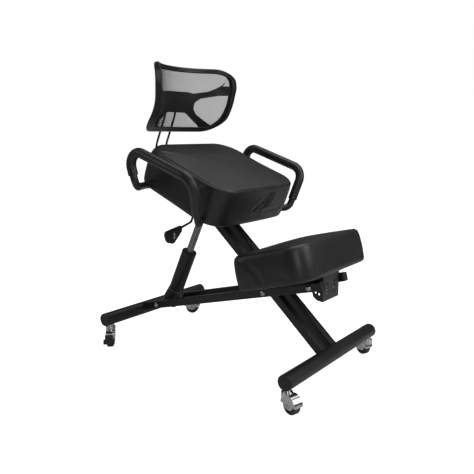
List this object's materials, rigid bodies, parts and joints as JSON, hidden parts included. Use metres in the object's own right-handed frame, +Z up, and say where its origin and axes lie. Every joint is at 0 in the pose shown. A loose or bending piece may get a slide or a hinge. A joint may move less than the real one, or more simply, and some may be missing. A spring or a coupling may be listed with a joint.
{
  "type": "kneeling chair",
  "caption": "Kneeling chair on casters with tilted seat, knee pad, loop handles, gas height strut and curved mesh back.",
  "frame": {"origin": "middle of the bounding box on the floor the wheels stand on", "axes": "+X is forward, from the seat to the knee pad; +Y is the sitter's left; +Z is up"},
  "size_m": [0.8163, 0.577, 0.915],
  "materials": {
    "black_paint": "satin black powder coat",
    "black_plastic": "fine satin moulding",
    "black_leather": "semi-gloss coated leather over foam",
    "plywood": "sanded plywood",
    "bright_steel": "bright plated steel",
    "grip_rubber": "smooth dense foam",
    "mesh_fabric": "open black net",
    "chrome_plate": "polished plating"
  },
  "bodies": {
    "seat_frame": {"front_tube": "black_paint", "front_tube_caps": "black_plastic", "seat_rail_left": "black_paint", "seat_rail_right": "black_paint", "pivot_bolt": "bright_steel", "front_caster_stems": "chrome_plate", "seat_cushion": "black_leather", "seat_board": "plywood", "seat_plate": "black_paint", "seat_screws": "bright_steel", "strut_cheeks": "black_paint", "strut_top_pin": "bright_steel", "handle_left": "black_paint", "handle_right": "black_paint", "grip_left": "grip_rubber", "grip_right": "grip_rubber", "handle_screws": "bright_steel", "back_rods": "black_paint", "back_clamp": "black_paint", "lever_bracket": "black_paint"},
    "knee_frame": {"rear_tube": "black_paint", "rear_tube_caps": "black_plastic", "knee_beam_left": "black_paint", "knee_beam_right": "black_paint", "beam_end_caps": "black_plastic", "beam_spacers": "bright_steel", "strut_foot_bolt": "bright_steel", "knee_bolt": "bright_steel", "rear_caster_stems": "chrome_plate"},
    "knee_carrier": {"knee_pad": "black_leather", "knee_board": "plywood", "knee_bracket": "black_paint", "knee_screws": "bright_steel"},
    "strut_cylinder": {"strut_foot": "black_paint", "strut_collar": "black_plastic", "strut_sleeve": "black_paint"},
    "strut_piston": {"strut_rod": "bright_steel", "strut_head": "black_paint"},
    "release_pin": {"release_pin": "bright_steel"},
    "lever": {"lever_rod": "black_paint", "lever_paddle": "black_plastic"},
    "backrest": {"back_block": "black_plastic", "back_support": "black_plastic", "back_rim": "black_plastic", "back_mesh": "mesh_fabric"},
    "swivel_front_right": {"caster_fork_front_right": "chrome_plate", "caster_axle_front_right": "chrome_plate"},
    "wheel_front_right": {"caster_wheel_front_right": "black_plastic"},
    "swivel_rear_right": {"caster_fork_rear_right": "chrome_plate", "caster_axle_rear_right": "chrome_plate"},
    "wheel_rear_right": {"caster_wheel_rear_right": "black_plastic"},
    "brake_rear_right": {"caster_brake_rear_right": "black_plastic"},
    "swivel_front_left": {"caster_fork_front_left": "chrome_plate", "caster_axle_front_left": "chrome_plate"},
    "wheel_front_left": {"caster_wheel_front_left": "black_plastic"},
    "brake_front_left": {"caster_brake_front_left": "black_plastic"},
    "swivel_rear_left": {"caster_fork_rear_left": "chrome_plate", "caster_axle_rear_left": "chrome_plate"},
    "wheel_rear_left": {"caster_wheel_rear_left": "black_plastic"}
  },
  "joints": [
    {"name": "height", "type": "hinge", "parent": "seat_frame", "child": "knee_frame", "pos_m": [0.16839, 0, 0.24289], "axis": [0, 1, 0], "range_deg": [0, 12]},
    {"name": "knee_tilt", "type": "hinge", "parent": "knee_frame", "child": "knee_carrier", "pos_m": [0.322, 0, 0.28498], "axis": [0, 1, 0], "range_deg": [0, 10]},
    {"name": "strut_swing", "type": "hinge", "parent": "knee_frame", "child": "strut_cylinder", "pos_m": [-0.281, 0, 0.11976], "axis": [0, 1, 0], "range_deg": [-2, 1]},
    {"name": "strut_stroke", "type": "slide", "parent": "strut_cylinder", "child": "strut_piston", "axis": [0.4271, 0, 0.9042], "range_m": [-0.085, 0.005]},
    {"name": "lever_pull", "type": "hinge", "parent": "seat_frame", "child": "lever", "pos_m": [-0.11753, -0.036, 0.46982], "axis": [-1, 0, 0], "range_deg": [0, 3.2], "stiffness_Nm_per_rad": 0.6},
    {"name": "pin_press", "type": "slide", "parent": "strut_piston", "child": "release_pin", "axis": [-0.4271, 0, -0.9042], "range_m": [-0.0005, 0.003]},
    {"name": "back_height", "type": "slide", "parent": "seat_frame", "child": "backrest", "axis": [0.0587, 0, 0.9983], "range_m": [-0.008, 0.015]},
    {"name": "swivel_front_right", "type": "hinge", "parent": "seat_frame", "child": "swivel_front_right", "pos_m": [0.36, -0.234, 0.05], "axis": [0, 0, 1], "continuous": true},
    {"name": "roll_front_right", "type": "hinge", "parent": "swivel_front_right", "child": "wheel_front_right", "pos_m": [0.3773, -0.23896, 0.025], "axis": [0.2756, 0.9613, 0], "continuous": true},
    {"name": "swivel_rear_right", "type": "hinge", "parent": "knee_frame", "child": "swivel_rear_right", "pos_m": [-0.36, -0.214, 0.05], "axis": [0, 0, 1], "continuous": true},
    {"name": "roll_rear_right", "type": "hinge", "parent": "swivel_rear_right", "child": "wheel_rear_right", "pos_m": [-0.3475, -0.22695, 0.025], "axis": [0.7193, 0.6947, 0], "continuous": true},
    {"name": "brake_rear_right", "type": "hinge", "parent": "swivel_rear_right", "child": "brake_rear_right", "pos_m": [-0.32839, -0.24673, 0.045], "axis": [0.7193, 0.6947, 0], "range_deg": [0, 8]},
    {"name": "swivel_front_left", "type": "hinge", "parent": "seat_frame", "child": "swivel_front_left", "pos_m": [0.36, 0.234, 0.05], "axis": [0, 0, 1], "continuous": true},
    {"name": "roll_front_left", "type": "hinge", "parent": "swivel_front_left", "child": "wheel_front_left", "pos_m": [0.34331, 0.24074, 0.025], "axis": [-0.3746, -0.9272, 0], "continuous": true},
    {"name": "brake_front_left", "type": "hinge", "parent": "swivel_front_left", "child": "brake_front_left", "pos_m": [0.31781, 0.25105, 0.045], "axis": [-0.3746, -0.9272, 0], "range_deg": [0, 8]},
    {"name": "swivel_rear_left", "type": "hinge", "parent": "knee_frame", "child": "swivel_rear_left", "pos_m": [-0.36, 0.214, 0.05], "axis": [0, 0, 1], "continuous": true},
    {"name": "roll_rear_left", "type": "hinge", "parent": "swivel_rear_left", "child": "wheel_rear_left", "pos_m": [-0.37691, 0.20784, 0.025], "axis": [0.342, -0.9397, 0], "continuous": true}
  ],
  "couplings": [
    {"joint": "strut_swing", "follows": "height", "ratio": -0.0847},
    {"joint": "strut_stroke", "follows": "height", "m_per_rad": -0.35741},
    {"joint": "pin_press", "follows": "lever_pull", "m_per_rad": 0.0325}
  ]
}
